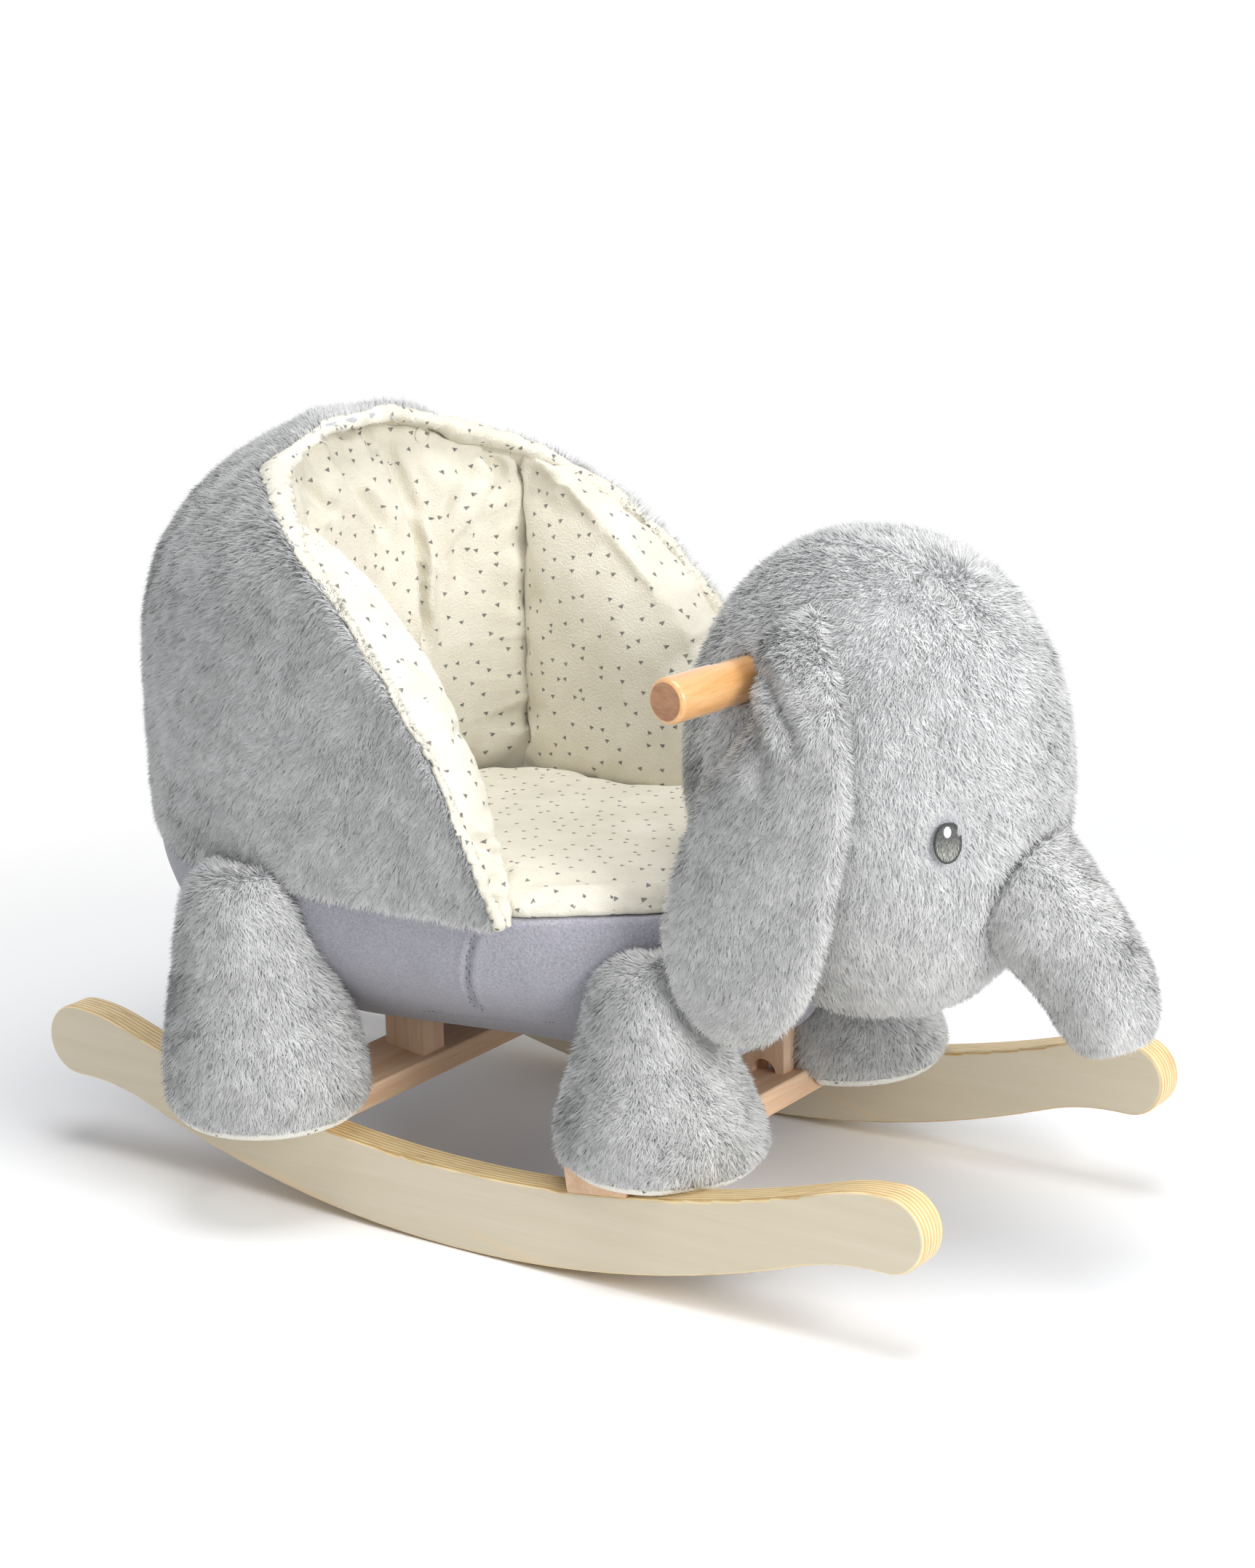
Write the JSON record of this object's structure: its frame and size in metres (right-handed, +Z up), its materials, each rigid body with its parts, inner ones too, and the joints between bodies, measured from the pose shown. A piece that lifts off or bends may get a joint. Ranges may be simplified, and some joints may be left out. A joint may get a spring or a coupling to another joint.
{
  "type": "rocking elephant",
  "caption": "Plush elephant rocker for a small child: padded bucket seat with backrest, head with hand grips, stuffed feet, on two bent plywood runners with crossbars.",
  "frame": {"origin": "on the floor under the middle of the whole toy's box, between the runners", "axes": "+X the way the elephant faces, +Y its left side, +Z up"},
  "size_m": [0.6634, 0.4126, 0.438],
  "materials": {
    "birch_ply": "clear satin varnish on birch plywood",
    "pine": "planed pine, clear satin",
    "varnished_wood": "turned hardwood peg, glossy varnish",
    "zinc_steel": "bright zinc",
    "long_plush": "long-pile grey plush over fibre stuffing",
    "belly_plush": "short-pile lavender-grey velour over fibre stuffing",
    "printed_cotton": "cream velour with small grey specks",
    "sole_cotton": "cream velour with small grey specks",
    "eye_thread": "satin-stitch embroidery"
  },
  "bodies": {
    "toy": {"rocker_right": "birch_ply", "rocker_left": "birch_ply", "front_crossbar": "pine", "rear_crossbar": "pine", "riser_front_right": "pine", "riser_front_left": "pine", "riser_rear_right": "pine", "riser_rear_left": "pine", "base_board": "birch_ply", "backrest_board": "birch_ply", "head_post": "pine", "rocker_bolts": "zinc_steel", "rocker_inserts": "zinc_steel", "riser_bolts": "zinc_steel", "tee_nuts": "zinc_steel", "handle_screws": "zinc_steel", "post_bracket": "zinc_steel", "backrest_brackets": "zinc_steel", "bracket_screws": "zinc_steel", "handle_right": "varnished_wood", "handle_left": "varnished_wood", "belly": "belly_plush", "tub_cover": "long_plush", "backrest_lining": "printed_cotton", "side_lining_right": "printed_cotton", "side_lining_left": "printed_cotton", "seat_pad": "printed_cotton", "head": "long_plush", "trunk": "long_plush", "eye_right": "eye_thread", "eye_left": "eye_thread", "leg_front_right": "long_plush", "leg_front_left": "long_plush", "leg_rear_right": "long_plush", "leg_rear_left": "long_plush", "sole_front_right": "sole_cotton", "sole_front_left": "sole_cotton", "sole_rear_right": "sole_cotton", "sole_rear_left": "sole_cotton"},
    "ear_right": {"ear_right": "long_plush"},
    "ear_left": {"ear_left": "long_plush"}
  },
  "joints": [
    {"name": "ear_right_flap", "type": "hinge", "parent": "toy", "child": "ear_right", "pos_m": [0.1633, -0.063, 0.373], "axis": [-1, 0, 0], "range_deg": [0, 12]},
    {"name": "ear_left_flap", "type": "hinge", "parent": "toy", "child": "ear_left", "pos_m": [0.1633, 0.063, 0.373], "axis": [1, 0, 0], "range_deg": [0, 12]}
  ]
}
